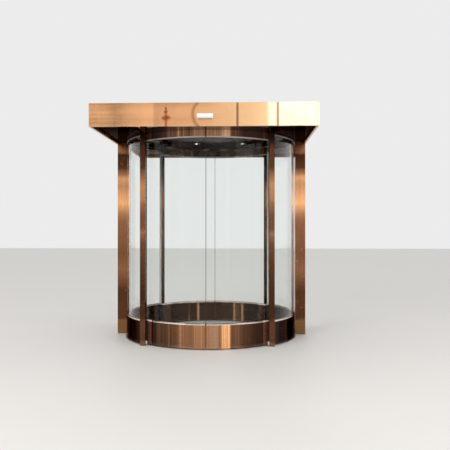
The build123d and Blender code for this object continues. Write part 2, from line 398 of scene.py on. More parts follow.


# %% [markdown]
# A rail is painted in layers: painted reflection streaks, smudges, a painted pink reflection
# on the right front foot rail, the duller end that laps behind the post with painted shade
# and a painted reflection of the post, the bead, painted shade at the fold, and dust last of
# all. Foot and head differ in the bead's side, height and colour, and in how far the fold's
# painted shade darkens the face and the bead.

# %% Rail finish
BEAD, BEAD_SOFT = 0.016, 0.001
BEAD_WHITE, HEAD_BEAD = (0.95, 0.8, 0.7), (0.62, 0.53, 0.51)
FOOT_EDGE = (1.0, PLINTH_TOP - BEAD, BEAD_WHITE, (0.25, 0.75))
HEAD_EDGE = (-1.0, HEAD_LOW + BEAD, HEAD_BEAD, (0.8, 0.6))
RAIL_MIDDLE = sum(rings["leaf_bottom_rail_front_right"][k] for k in ("inner", "outer")) / 2
LAP_FROM, LAP_SOFT = 39.4, 0.6
LAP_POST_REFLECTION, REAR_LAP_POST_REFLECTION = (0.16, 0.055, 0.034), (0.055, 0.022, 0.013)
PINK_REFLECTION, PINK_REFLECTION_SOFT = (1.6, 8.6), 1.0
PINK, PINK_PALE = (0.48, 0.275, 0.17), (0.6, 0.38, 0.26)
FOLD_SHADE, FOLD_FROM, FOLD_TO = (0.16, 0.06, 0.03), 0.35, 0.75
RAIL_SMUDGE, RAIL_DUST = (0.86, 0.84, 0.82), (0.42, 0.37, 0.33)


def rail_finish(name, tone_of, colours, edge, shift=0.0, gloss=0.2, lap_reflection=None, pink_reflection=None,
                outside=None, fold=True, **settings):
    material, tree, shader = new_material(name, Metallic=1.0, Anisotropic=0.75, **settings)
    upright_tangent(shader)
    where, x, y, z = places(tree)
    streak = use(tree, streaks, Width=7.0, Shift=shift)
    line = use(tree, hairlines)["Line"]
    patch = use(tree, smudges, Size=0.16)["Patch"]
    cover = use(tree, dust, Height=0.05, Level=0.25)["Cover"]
    side, bead_start, bead_colour, fold_shade_depth = edge
    on_bead = fade(z * side, bead_start * side, bead_start * side + BEAD_SOFT)
    off_middle = abs(turn_degrees(x, abs(y) * -1.0))
    colour = sheet_tone(tone_of(x, y, streak), colours)
    if outside:
        # Painted reflections: the inner face is painted with the dark room it mirrors, and the outer face
        # with the open air.
        outer_tone, outer_colours = outside
        outer = sheet_tone(outer_tone(x, y, streak), outer_colours)
        colour = blend(calc("GREATER_THAN", distance(x, y), RAIL_MIDDLE), colour, outer)
    colour = blend(patch * 0.25, colour, RAIL_SMUDGE, "MULTIPLY")
    # Painted reflection: a pink band where the rail mirrors a pale wall.
    if pink_reflection:
        turned, (start, end) = turn_degrees(x, y), pink_reflection
        pink_mask = fade(turned, start, start + PINK_REFLECTION_SOFT) * fade(turned, end - PINK_REFLECTION_SOFT, end, 0.8, 0.0)
        colour = blend(pink_mask, colour, blend(streak["Fine"], PINK, PINK_PALE))
    if lap_reflection:
        # The end that laps behind the post is duller and less metallic, with painted shade and a painted
        # reflection of the post.
        lap = fade(off_middle, LAP_FROM, LAP_FROM + LAP_SOFT)
        colour = blend(lap, colour, lap_reflection)
        feed(shader.inputs["Metallic"], 1.0 - lap * 0.85)
    colour = blend(on_bead, colour, bead_colour)
    if fold:
        # Painted shade darkens the face and the bead beside the gap where the leaves meet.
        fold_shade = fade(off_middle, FOLD_FROM, FOLD_TO, 1.0, 0.0)
        colour = blend(fold_shade * fade(on_bead, 0.0, 1.0, *fold_shade_depth), colour, FOLD_SHADE)
    colour = blend(cover * 0.35, colour, RAIL_DUST)
    rough = gloss + line * 0.1 + patch * 0.06 + cover * 0.25
    set_look(shader, colour, rough, streak["Wave"] + line * 0.02, 0.004)
    return material


# %% [markdown]
# The leaves carry strong streaks, painted reflections: bright where the sheet mirrors the open
# street and dark where it mirrors a wall. A short list says where the main ones stand, as turns
# in degrees from the middle of the opening, and how bright each is: 0 for dark, 1 for bright,
# and a little over 1 for a painted glint. The noise adds the thin ones. The outer face of a
# rear leaf repeats the front, and its inner face, seen through the drum, is painted much darker.
# The wall plinths and the inner face of the rear head rails follow the noise alone.

# %% Tones round the leaves
TONE_SPAN, FINE_MEAN = 50.0, 0.18
FOOT_LINES, HEAD_LINES = 0.7, 1.3
FOOT_REFLECTION_TONES = (
    (-36, 0.02), (-33, 0.19), (-31, 0.1), (-25.8, 0.13), (-25, 0.34), (-24.2, 0.13), (-18.5, 0.18),
    (-16.5, 0.5), (-15, 0.26), (-12, 0.38), (-9.5, 0.28), (-6, 0.6), (0, 0.56), (7, 0.57), (9, 0.4),
    (10.6, 1.0), (13.3, 1.0), (13.7, 0.66), (14.1, 1.15), (15, 1.15), (16.2, 0.18), (21, 0.23),
    (24, 0.12), (34, 0.03),
)
HEAD_REFLECTION_TONES = (
    (-35, 0.0), (-27, 0.1), (-25, 0.5), (-23.5, 0.25), (-19, 0.3), (-18, 0.85), (-16.5, 0.22),
    (-13, 0.42), (-10.5, 0.2), (-7, 0.85), (0, 0.75), (8, 0.76), (9.6, 0.86), (10.6, 1.05), (11.8, 1.0),
    (12.2, 1.5), (12.9, 1.5), (13.3, 1.05), (15.2, 1.1), (16.3, 0.16), (20.5, 0.18), (25, 0.04),
)
REAR_REFLECTION_TONES = (
    (-24, 0.08), (-22.5, 0.5), (-21, 0.08), (-15.8, 0.12), (-15.1, 1.0), (-13.9, 1.0), (-13, 0.12),
    (15.7, 0.12), (16.2, 1.0), (17.5, 1.0), (18.1, 0.42), (21, 0.4), (23, 0.16), (23.6, 1.0),
    (25.1, 1.0), (25.8, 0.28), (27.5, 0.2), (28.5, 0.08),
)


def banded_tone(tones, thin, rear=False):
    # Gives back the step that draws these tones, counted from the middle of the opening.
    def tone_of(x, y, streak):
        ahead = y * -1.0 if rear else y
        tone = tone_ramp(turn_degrees(x, ahead), -TONE_SPAN, TONE_SPAN, tones)
        return tone * (1.0 - FINE_MEAN * thin + streak["Fine"] * thin)
    return tone_of


def streaked_tone(x, y, streak):
    return streak["Broad"] * 0.5 + streak["Fine"] * 0.45


print("tones", len(FOOT_REFLECTION_TONES), len(HEAD_REFLECTION_TONES), len(REAR_REFLECTION_TONES))

# %% [markdown]
# Each sheet has three colours for its painted reflections: dark, middle and bright. At a low
# angle the wall plinths would mirror the pale studio, so their Specular Tint is dark, and
# their palettes are painted dark.

# %% Dress the rails
ROSE = ((0.028, 0.0125, 0.0085), (0.43, 0.205, 0.105), (1.0, 0.52, 0.24))
ROSE_HEAD = ((0.06, 0.034, 0.028), (0.52, 0.25, 0.145), (1.0, 0.6, 0.35))
SHADE = ((0.04, 0.018, 0.012), (0.17, 0.094, 0.048), (0.68, 0.41, 0.22))
GLOOM = ((0.04, 0.028, 0.026), (0.07, 0.048, 0.043), (0.13, 0.085, 0.07))
REAR_GLOOM = ((0.03, 0.016, 0.01), (0.075, 0.042, 0.025), (0.17, 0.1, 0.055))
LOW_ANGLE_DARK = (0.25, 0.19, 0.18, 1.0)

finishes = {
    "leaf_bottom_rail_front_": rail_finish(
        "leaf_foot_bronze", banded_tone(FOOT_REFLECTION_TONES, FOOT_LINES), ROSE, FOOT_EDGE,
        lap_reflection=LAP_POST_REFLECTION, pink_reflection=PINK_REFLECTION),
    "leaf_top_rail_front_": rail_finish(
        "leaf_head_bronze", banded_tone(HEAD_REFLECTION_TONES, HEAD_LINES), ROSE_HEAD, HEAD_EDGE,
        gloss=0.34, lap_reflection=LAP_POST_REFLECTION),
    "leaf_bottom_rail_rear_": rail_finish(
        "rear_foot_bronze", banded_tone(REAR_REFLECTION_TONES, FOOT_LINES, rear=True), SHADE, FOOT_EDGE,
        shift=3.0, lap_reflection=REAR_LAP_POST_REFLECTION,
        outside=(banded_tone(FOOT_REFLECTION_TONES, FOOT_LINES, rear=True), ROSE)),
    "leaf_top_rail_rear_": rail_finish(
        "rear_head_bronze", streaked_tone, SHADE, HEAD_EDGE, shift=8.0,
        outside=(banded_tone(HEAD_REFLECTION_TONES, HEAD_LINES, rear=True), ROSE_HEAD)),
    "wall_plinth_front_": rail_finish(
        "wall_plinth_bronze", streaked_tone, GLOOM, FOOT_EDGE, shift=5.0, fold=False,
        Specular_Tint=LOW_ANGLE_DARK),
    "wall_plinth_rear_": rail_finish(
        "rear_plinth_bronze", streaked_tone, REAR_GLOOM, FOOT_EDGE, shift=11.0, fold=False,
        Specular_Tint=LOW_ANGLE_DARK),
}
for piece, finish in finishes.items():
    dress([piece + side for side in SIDES], finish)
print("finishes on rails and plinths", len(finishes))

# %% [markdown]
# ## Posts and columns
# The posts and the jamb columns are folded from the same sheet, but with upright
# hairlines and a browner tone. Up a column the photograph shows a golden foot, a dark part,
# a warm middle, a bright band above eye height, and a dark band under the head. Such bands
# are what the flat sheet mirrors, and they are painted in as reflections: a list gives each
# height in metres and its tone.

# %% Post and column finish
UMBER = ((0.046, 0.015, 0.007), (0.31, 0.138, 0.068), (0.86, 0.43, 0.195))
FOOT_REFLECTION_GOLD, FOOT_SOFT, BAND_WAVER = (0.25, 0.125, 0.045), 0.02, 0.06
THREAD, THREAD_SHINE = (420.0, 420.0, 3.0), (1.5, 1.45, 1.4)
POST_SMUDGE, POST_DUST, POST_SCRATCH = (0.66, 0.6, 0.56), (0.36, 0.31, 0.27), (0.7, 0.5, 0.38)


def upright_finish(name, tones, dust_height, foot_top):
    material, tree, shader = new_material(name, Metallic=1.0)
    where, x, y, z = places(tree)
    waver = (noise(where, 3.0) - 0.5) * BAND_WAVER
    sheet = sheet_tone(tone_ramp(z + waver, 0.0, SOFFIT, tones), UMBER)
    strand = noise(stretch(x, y, z, THREAD), 1.0)
    patch = use(tree, smudges, Size=0.35, Shift=4.0)["Patch"]
    cover = use(tree, dust, Height=dust_height, Level=0.4)["Cover"]
    scratch = use(tree, scratches, Size=0.25, Breadth=0.004)["Line"]
    colour = blend(fade(strand, 0.35, 0.75, 0.0, 0.6), sheet, THREAD_SHINE, "MULTIPLY")
    colour = blend(patch * 0.35, colour, POST_SMUDGE, "MULTIPLY")
    colour = blend(cover * 0.4, colour, POST_DUST)
    colour = blend(scratch * 0.25, colour, POST_SCRATCH)
    # A painted reflection of the floor makes the foot golden.
    colour = blend(fade(z, foot_top - FOOT_SOFT, foot_top, 0.6, 0.0), colour, FOOT_REFLECTION_GOLD)
    set_look(shader, colour, 0.16 + strand * 0.16 + patch * 0.07 + cover * 0.25, strand, 0.0002)
    return material


COLUMN_REFLECTION_TONES = (
    (0.19, 0.3), (0.22, 0.1), (0.6, 0.1), (0.9, 0.43), (1.1, 0.29), (1.5, 0.42), (1.65, 0.6),
    (1.8, 1.0), (2.05, 0.64), (2.15, 0.76), (2.29, 0.05), (2.47, 0.0), (2.51, 0.34), (2.63, 0.24),
)
POST_REFLECTION_TONES = (
    (0.28, 0.17), (0.36, 0.04), (0.7, 0.05), (1.0, 0.13), (1.28, 0.24), (1.4, 0.56), (1.46, 0.28),
    (1.62, 0.28), (1.82, 0.62), (2.0, 0.66), (2.1, 0.48), (2.22, 0.08), (2.5, 0.04),
)
dress(["jamb_column_" + side for side in SIDES], upright_finish("column_bronze", COLUMN_REFLECTION_TONES, 0.1, 0.2))
dress(["post_" + place for place in PLACES], upright_finish("post_bronze", POST_REFLECTION_TONES, 0.07, 0.06))
print("column tones", len(COLUMN_REFLECTION_TONES), "post tones", len(POST_REFLECTION_TONES))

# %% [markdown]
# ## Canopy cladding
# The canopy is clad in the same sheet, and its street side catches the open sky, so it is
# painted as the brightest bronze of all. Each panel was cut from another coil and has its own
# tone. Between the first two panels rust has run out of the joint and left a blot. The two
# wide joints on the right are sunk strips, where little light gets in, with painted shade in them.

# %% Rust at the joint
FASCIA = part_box("fascia_front")
JOINTS = (-0.42, 0.385, 0.835)
BLOTS = ((2.704, 0.078, 0.066), (2.772, 0.036, 0.038), (2.812, 0.022, 0.022))
DRIP_TOP, DRIP_SOFT, DRIP_HALF = 2.83, 0.03, 0.012


def rust_mask(x, z, where):
    # A thin drip down the joint, and the blots over it.
    ragged = (noise(where, 60.0, 3.0) - 0.5) * 0.6
    across = x - JOINTS[0]
    spread = abs(across) / DRIP_HALF + ragged
    rust = fade(spread, 0.2, 2.4, 0.8, 0.0) * fade(z, DRIP_TOP - DRIP_SOFT, DRIP_TOP, 1.0, 0.0)
    for blot_z, half_width, half_height in BLOTS:
        # The sum of both distances, not their square root, gives the blot its pointed shape.
        reach = abs(across / half_width) + abs((z - blot_z) / half_height)
        rust = calc("MAXIMUM", rust, fade(reach + ragged, 0.25, 1.3, 1.0, 0.0))
    return rust


print("blots", len(BLOTS), "at the joint", JOINTS[0])

# %% [markdown]
# The street side is painted like the rails, with painted reflections: a list of tones along the
# fascia and one up the left panels, which mirror level bands. A painted dark arc of shade
# stands round the left of the sensor box. The bronze is painted paler towards the right, as
# a painted glow of the sky, and the last panel carries a painted glare where it mirrors a lamp.

# %% Street side of the fascia
STRIP_HALF, STRIP_SOFT, STRIP_SHADE = 0.012, 0.002, (0.26, 0.125, 0.048)
# Each strip's place and the depth of its painted shade. The third is no joint, only a faint painted line of
# shade by the end.
STRIPS = ((JOINTS[1], 0.82), (JOINTS[2], 0.75), (1.277, 0.25))
PANEL_REFLECTION_TONES = (
    (-1.25, 0.47), (-1.1, 0.47), (-1.0, 0.42), (-0.94, 0.5), (-0.85, 0.68), (-0.65, 0.98),
    (-0.575, 1.0), (-0.55, 0.8), (-0.52, 0.76), (-0.47, 0.82), (-0.43, 0.84), (-0.2, 0.92), (0.2, 1.0),
)
LEVEL_REFLECTION_TONES = ((2.61, 0.97), (2.68, 0.88), (2.72, 0.94), (2.77, 1.0), (2.81, 0.98), (2.865, 0.8))
LEVEL_END, WHITE = (-0.3, 0.4), (1.0, 1.0, 1.0)
SKY_LIT_BRONZE, SKY_BRONZE, RIGHT_GLOW = (0.98, 0.505, 0.245), (1.0, 0.62, 0.335), (-0.2, 0.45)
GLARE, GLARE_BRONZE = (0.7, 0.75), (1.0, 0.82, 0.6)
ARC_X, ARC_Z, ARC_RADIUS, ARC_HALF = 0.066, 2.7445, 0.184, 0.034
ARC_END, ARC_SHADE = -0.1, (0.5, 0.25, 0.12)


def street_look(x, z, colour):
    # Three quarters are this side's painted sky-lit bronze, and the rest is the sheet's.
    low, high = FASCIA
    colour = blend(0.75, colour, blend(fade(x, *RIGHT_GLOW), SKY_LIT_BRONZE, SKY_BRONZE))
    # Painted reflections: tones along the fascia, and level bands up the left panels.
    colour = blend(1.0, colour, tone_ramp(x, low.x, high.x, PANEL_REFLECTION_TONES), "MULTIPLY")
    level = blend(fade(x, *LEVEL_END), tone_ramp(z, low.z, high.z, LEVEL_REFLECTION_TONES), WHITE)
    colour = blend(1.0, colour, level, "MULTIPLY")
    # A painted glare on the last panel, where the card lamp's mirror image also falls.
    colour = blend(fade(x, *GLARE, 0.0, 0.95), colour, GLARE_BRONZE)
    # Painted shade in the sunk joints and in the line by the end.
    for joint_x, depth in STRIPS:
        strip = fade(abs(x - joint_x), STRIP_HALF, STRIP_HALF + STRIP_SOFT, depth, 0.0)
        colour = blend(strip, colour, STRIP_SHADE)
    # A painted arc of shade round the left of the sensor box.
    arc_x = x - ARC_X
    off_arc = abs(distance(arc_x, z - ARC_Z) - ARC_RADIUS)
    arc = fade(off_arc, 0.0, ARC_HALF, 1.0, 0.0) * calc("LESS_THAN", arc_x, ARC_END)
    return blend(arc, colour, ARC_SHADE)


print("fascia", [round(v, 3) for v in FASCIA[0]], [round(v, 3) for v in FASCIA[1]])

# %% Cladding finish
COILS, COIL_STEP = ((0.8, 0.385, 0.18), (0.9, 0.45, 0.215)), 3.7
ROLL, ROLL_MARK = (0.8, 0.8, 26.0), (0.68, 0.33, 0.165)
SHEET_SMUDGE, SHEET_BAND = (0.9, 0.6, 0.4), (0.84, 0.76, 0.7)
RUST, SHEET_DUST = (0.24, 0.045, 0.005), (0.4, 0.36, 0.32)


def cladding_finish(name, street_side):
    material, tree, shader = new_material(name, Metallic=1.0, Anisotropic=0.5)
    upright_tangent(shader)
    where, x, y, z = places(tree)
    line = use(tree, hairlines, Pitch=700.0, Length=3.0)["Line"]
    patch = use(tree, smudges, Size=0.45, Shift=9.0)["Patch"]
    cover = use(tree, dust, Height=0.01, Level=0.6)["Cover"]
    # The number of joints passed picks each panel's place in the noise, and so its coil.
    first, second, third = [calc("GREATER_THAN", x, joint_x) for joint_x in JOINTS]
    coil = noise_line((first + second + third) * COIL_STEP + 1.3, 0.0)
    colour = blend(coil, *COILS)
    roll = noise(stretch(x, y, z, ROLL), 1.0)
    colour = blend(fade(roll, 0.4, 0.7, 0.0, 0.3), colour, ROLL_MARK)
    colour = blend(patch * 0.12, colour, SHEET_SMUDGE)
    band = fade(noise_line(x * 2.6), 0.5, 0.68, 0.0, 0.5)
    colour = blend(band, colour, SHEET_BAND, "MULTIPLY")
    rough = 0.19 + line * 0.08 + patch * 0.06
    if street_side:
        colour = street_look(x, z, colour)
        rust = rust_mask(x, z, where)
        colour = blend(rust, colour, RUST)
        rough = rough + rust * 0.45
        feed(shader.inputs["Metallic"], 1.0 - rust * 0.85)
    colour = blend(cover * 0.5, colour, SHEET_DUST)
    set_look(shader, colour, rough + cover * 0.3, roll + line * 0.03, 0.0012)
    return material


dress(["fascia_front"], cladding_finish("street_cladding", True))
dress(["fascia_rear", "canopy_cheek_left", "canopy_cheek_right"], cladding_finish("plain_cladding", False))
print("panels along the street", len(JOINTS) + 1)

# %% [markdown]
# ## Soffit and drum ceiling
# The underside of the canopy is a nearly black polished panel. Black lacquer seen at a low
# angle turns into a mirror, and in front of the leaves it mirrors their head rails, as in
# the photograph. Elsewhere the shader is a dark metal instead, whose Specular Tint keeps
# the low-angle mirror dark too.

# %% Dark mirror finish
LACQUER_HALF, LACQUER_SOFT, LACQUER_BLACK = 0.78, 0.01, (0.006, 0.002, 0.001)
CLOUDY, CEILING_DUST = 1.6, (0.26, 0.24, 0.22)


def dark_mirror(name, tint, edge, lacquer=False):
    material, tree, shader = new_material(name, Metallic=1.0, Specular_Tint=(*edge, 1.0))
    where, x, y, z = places(tree)
    patch = use(tree, smudges, Size=0.5, Shift=2.0)["Patch"]
    cover = use(tree, dust, Height=0.01, Level=0.8)["Cover"]
    haze = noise(where, 1.6)
    colour = blend(haze, tint, tuple(CLOUDY * part for part in tint))
    colour = blend(cover * 0.7, colour, CEILING_DUST)
    if lacquer:
        beside = fade(abs(x), LACQUER_HALF - LACQUER_SOFT, LACQUER_HALF)
        feed(shader.inputs["Metallic"], beside)
        colour = blend(beside, LACQUER_BLACK, colour)
    set_look(shader, colour, 0.05 + patch * 0.05 + cover * 0.5, haze, 0.0001)
    return material


dress(["soffit_" + end for end in ENDS],
      dark_mirror("soffit_mirror", (0.034, 0.024, 0.022), (0.12, 0.095, 0.09), lacquer=True))
dress(["drum_ceiling"], dark_mirror("ceiling_mirror", (0.168, 0.162, 0.165), (0.22, 0.21, 0.21)))

# %% [markdown]
# ## Glass
# The panes are thick clear float glass, a little green. A pane of two faces bends light
# properly on its own. Only the lamps' shadow rays get a free pass through a plain
# Transparent shader, because path tracing finds the light behind glass too slowly. The
# Specular Tint softens the shine, or the pale studio would lay a grey veil on every pane.

# %% Glass finish
SOFT_SHINE = (0.15, 0.15, 0.15, 1.0)


def glass_finish(name, tint, shadow):
    material, tree, shader = new_material(
        name, Metallic=0.0, Transmission_Weight=1.0, IOR=1.5, Specular_Tint=SOFT_SHINE,
        Base_Color=(*tint, 1.0))
    patch = use(tree, smudges, Size=0.3, Shift=6.0)["Patch"]
    feed(shader.inputs["Roughness"], patch * 0.012)
    clear = add_node(tree, "BsdfTransparent", Color=(*shadow, 1.0))
    path = add_node(tree, "LightPath")
    mix = add_node(tree, "MixShader", Fac=Value(path.outputs["Is Shadow Ray"]))
    tree.links.new(shader.outputs["BSDF"], mix.inputs[1])
    tree.links.new(clear.outputs["BSDF"], mix.inputs[2])
    tree.links.new(mix.outputs["Shader"], tree.nodes["Material Output"].inputs["Surface"])
    return material


panes = [kind + place for place in PLACES for kind in ("wall_glass_", "leaf_glass_")]
dress(panes, glass_finish("clear_pane", (0.955, 0.975, 0.965), (0.9, 0.92, 0.91)))
print("panes", len(panes))

# %% [markdown]
# ## Plain metals and plastics
# The floor ring is brushed steel that everyone walks over. The head channel is satin
# metal with a painted pink reflection of the bronze round it, and painted shade above its
# lowest edge, which stays bright. The track, trucks and deck are plain mill-finished steel,
# out of sight from the street. The sensor boxes and floor guides are moulded white plastic,
# a little yellow with dirt.

# %% Plain metal finish
SCRATCH_RELIEF, SEAM_HALF, SEAM_DIRT = 0.15, 0.003, (0.12, 0.11, 0.1)
CHANNEL_EDGE, CHANNEL_SOFT, SHADED_METAL = 0.01, 0.004, (0.16, 0.11, 0.095)
BARE_METAL, METAL_DUST = (0.8, 0.78, 0.76), (0.36, 0.33, 0.3)


def plain_metal(name, colour, worn, roughness, scratch_size, level_dust, seams=0.0, shade_from=0.0,
                **settings):
    material, tree, shader = new_material(name, Metallic=1.0, **settings)
    where, x, y, z = places(tree)
    cloud = noise(where, 9.0, 3.0)
    scratch = use(tree, scratches, Size=scratch_size)["Line"]
    patch = use(tree, smudges, Size=0.25)["Patch"]
    cover = use(tree, dust, Height=0.02, Level=level_dust)["Cover"]
    body = blend(fade(cloud, 0.3, 0.7), colour, worn)
    body = blend(scratch * 0.5, body, BARE_METAL)
    body = blend(cover * 0.6, body, METAL_DUST)
    relief = (cloud - scratch) * SCRATCH_RELIEF
    if shade_from:
        # Painted shade: only the lowest edge catches the light, and above it the sheet turns back and away.
        body = blend(fade(z, shade_from, shade_from + CHANNEL_SOFT), body, SHADED_METAL)
    if seams:
        # Sheets of one width lie side by side, and dirt fills the seams between them.
        off_seam = abs(calc("FRACT", x / seams) - 0.5)
        seam = fade(off_seam, SEAM_HALF / seams, 2 * SEAM_HALF / seams, 1.0, 0.0)
        body = blend(seam * 0.8, body, SEAM_DIRT)
        relief = relief - seam
    set_look(shader, body, roughness + patch * 0.08 + cover * 0.3, relief, 0.002)
    return material


# Colour, colour where worn, roughness, size of the scratches, and dust on level faces.
MILL = ((0.42, 0.43, 0.44), (0.52, 0.53, 0.54), 0.42, 0.4, 0.7)
dress(["floor_ring"], plain_metal("ring_steel", (0.66, 0.6, 0.56), (0.8, 0.74, 0.7), 0.3, 0.12, 0.25))
# The channel's pinkish colour is a painted reflection of the bronze round it.
dress(["wall_head_channels"], plain_metal(
    "channel_satin", (0.86, 0.78, 0.77), (0.95, 0.87, 0.86), 0.38, 0.3, 0.1,
    shade_from=CHANNEL_LOW + CHANNEL_EDGE))
dress(["ring_track"], plain_metal("mill_steel", *MILL))
dress(["roof_deck"], plain_metal("deck_steel", *MILL, seams=0.66))
dress(["leaf_trucks_" + place for place in PLACES],
      plain_metal("truck_steel", (0.46, 0.46, 0.45), (0.58, 0.57, 0.55), 0.36, 0.06, 0.2))
print("channel shaded above", round(CHANNEL_LOW + CHANNEL_EDGE, 3))


# %% Plastic finish
def plastic(name, colour, grime, roughness, grain_size):
    material, tree, shader = new_material(name, Metallic=0.0)
    where, x, y, z = places(tree)
    grain = noise(where, 1.0 / grain_size, 1.0)
    patch = use(tree, smudges, Size=0.08, Shift=1.0)["Patch"]
    cover = use(tree, dust, Height=0.05, Level=0.5)["Cover"]
    body = blend(cover, blend(patch * 0.15, colour, grime), grime)
    set_look(shader, body, roughness + patch * 0.12, grain, 0.0002)
    return material


dress(["door_sensor_" + end for end in ENDS],
      plastic("sensor_white", (0.8, 0.8, 0.78), (0.66, 0.62, 0.56), 0.3, 0.0012))
dress(["floor_guides"], plastic("guide_white", (0.78, 0.77, 0.74), (0.42, 0.37, 0.32), 0.45, 0.002))

# %% [markdown]
# ## Building pieces round the axis
# Beads, gaskets and seals follow the glass as long thin bars with four corners in section,
# carried round the axis in short steps and closed at both ends. A curve with a bevel would
# do too, but a bar made face by face keeps its corners crisp.

# %% Mesh helpers
STEP_TURN = math.radians(2.0)
FIXED = "drum_and_canopy"


def ring_point(radius, turn, height):
    return Vector((radius * math.sin(turn), -radius * math.cos(turn), height))


def join_rows(mesh, rows, ends=True):
    # Skins rows of corners. Where two corners of a face are one point, it is named once.
    for near, far in zip(rows, rows[1:]):
        for k in range(len(near)):
            after = (k + 1) % len(near)
            mesh.faces.new(list(dict.fromkeys((near[k], near[after], far[after], far[k]))))
    if ends:
        mesh.faces.new(rows[0][::-1])
        mesh.faces.new(rows[-1])


def add_bar(mesh, inner, outer, low, high, start, end):
    count = max(1, math.ceil((end - start) / STEP_TURN))
    rows = []
    for number in range(count + 1):
        turn = start + (end - start) * number / count
        section = ((inner, low), (outer, low), (outer, high), (inner, high))
        rows.append([mesh.verts.new(ring_point(radius, turn, height)) for radius, height in section])
    join_rows(mesh, rows)


def add_prism(mesh, outline, low, high):
    # An upright prism over a list of x, y points.
    join_rows(mesh, [[mesh.verts.new((x, y, height)) for x, y in outline] for height in (low, high)])


def finish_piece(name, mesh, material, body=FIXED):
    bmesh.ops.recalc_face_normals(mesh, faces=mesh.faces)
    data = bpy.data.meshes.new(name)
    mesh.to_mesh(data)
    mesh.free()
    data.materials.append(material)
    piece = bpy.data.objects.new(name, data)
    scene.collection.objects.link(piece)
    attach(piece, body)


def bar_piece(name, material, *bars, body=FIXED):
    # Each bar is inner and outer radius, low and high, and the turns at its start and end.
    mesh = bmesh.new()
    for bar in bars:
        add_bar(mesh, *bar)
    finish_piece(name, mesh, material, body)


# %% [markdown]
# ## Rubber and pile
# Black gaskets close the glass in its rails, and black pile seals the running gaps. Both
# are dull and slightly grey with dust. Pile also shows its upright threads.

# %% Rubber and pile finishes
def soft_black(name, colour, dusty, thread):
    material, tree, shader = new_material(name, Metallic=0.0, Specular_IOR_Level=0.3)
    where, x, y, z = places(tree)
    patch = use(tree, smudges, Size=0.07)["Patch"]
    strand = noise(stretch(x, y, z, thread), 1.0)
    body = blend(patch * 0.5, colour, dusty)
    body = blend(fade(strand, 0.5, 0.8, 0.0, 0.5), body, dusty)
    set_look(shader, body, 0.6 + strand * 0.25, strand, 0.0006)
    return material


rubber = soft_black("gasket_rubber", (0.022, 0.022, 0.023), (0.07, 0.065, 0.06), (40.0, 40.0, 40.0))
pile = soft_black("seal_pile", (0.018, 0.017, 0.017), (0.06, 0.055, 0.05), (1500.0, 1500.0, 60.0))

# %% Gaskets along the glass
GASKET_WIDTH, GASKET_HEIGHT, SNUG = 0.003, 0.003, 0.0002
above_rail = (PLINTH_TOP - SNUG, PLINTH_TOP + GASKET_HEIGHT)
under_channel = (CHANNEL_LOW - GASKET_HEIGHT, CHANNEL_LOW + SNUG)
under_head = (HEAD_LOW - GASKET_HEIGHT, HEAD_LOW + SNUG)


def gasket(name, glass, heights, body=FIXED):
    # One bar on each face of the pane.
    turns = (glass["start"], glass["end"])
    inside, outside = glass["inner"] - SNUG, glass["outer"] + SNUG
    bar_piece(name, rubber, (inside - GASKET_WIDTH, inside, *heights, *turns),
              (outside, outside + GASKET_WIDTH, *heights, *turns), body=body)


for place in PLACES:
    wall, leaf = rings["wall_glass_" + place], rings["leaf_glass_" + place]
    gasket("plinth_gasket_" + place, wall, above_rail)
    gasket("channel_gasket_" + place, wall, under_channel)
    gasket("leaf_foot_gasket_" + place, leaf, above_rail, "leaf_" + place)
    gasket("leaf_head_gasket_" + place, leaf, under_head, "leaf_" + place)
print("gaskets", 4 * len(PLACES))

# %% [markdown]
# ## Silicone
# The fixed panes end against the posts in a bead of pale silicone, and the two panes of a
# wall meet at the side of the drum in a slim joint strip on both faces. Against the dark
# metal both show as fine light lines, which the photograph has too.

# %% Silicone finish
def silicone_finish():
    material, tree, shader = new_material(
        "pale_silicone", Metallic=0.0, Subsurface_Weight=0.15, Subsurface_Scale=0.004)
    where, x, y, z = places(tree)
    patch = use(tree, smudges, Size=0.12, Shift=3.0)["Patch"]
    tool_mark = noise(stretch(x, y, z, (30.0, 30.0, 90.0)), 1.0)
    body = blend(patch * 0.4, (0.74, 0.72, 0.68), (0.55, 0.51, 0.46))
    set_look(shader, body, 0.28 + tool_mark * 0.2, tool_mark, 0.0006)
    return material


silicone = silicone_finish()

# %% Beads at the posts
BEAD_LEG, BEAD_CURVE, BEAD_HOLLOW = 0.01, 4, 0.28
POST_TURN = math.radians(48)
bead_low, bead_high = PLINTH_TOP + GASKET_HEIGHT, CHANNEL_LOW - GASKET_HEIGHT


def quarter_signs(place):
    return (1.0 if "right" in place else -1.0), (1.0 if "rear" in place else -1.0)


def post_bead(place):
    # The bead's outline runs from the post's face to the glass in a hollow curve.
    glass = rings["wall_glass_" + place]
    side, end = quarter_signs(place)
    points = [vertex.co for vertex in nodes["wall_glass_" + place].data.vertices]
    face = min(abs(p.y) for p in points if abs(p.x) < glass["inner"] * math.sin(POST_TURN))
    corner_x = math.sqrt(glass["inner"] ** 2 - face ** 2)
    turn = math.atan2(corner_x, face)
    corner = Vector((corner_x, face))
    along_post = corner + Vector((-BEAD_LEG, 0.0))
    along_glass = corner + BEAD_LEG * Vector((math.cos(turn), -math.sin(turn)))
    middle = corner + BEAD_HOLLOW * (along_post + along_glass - 2 * corner)
    shares = [number / BEAD_CURVE for number in range(BEAD_CURVE + 1)]
    outline = [corner] + [
        (1 - s) ** 2 * along_post + 2 * s * (1 - s) * middle + s ** 2 * along_glass for s in shares]
    mesh = bmesh.new()
    add_prism(mesh, [(side * point.x, end * point.y) for point in outline], bead_low, bead_high)
    finish_piece("post_bead_" + place, mesh, silicone)


for place in PLACES:
    post_bead(place)
print("post beads", len(PLACES), "from", round(bead_low, 3), "to", round(bead_high, 3))

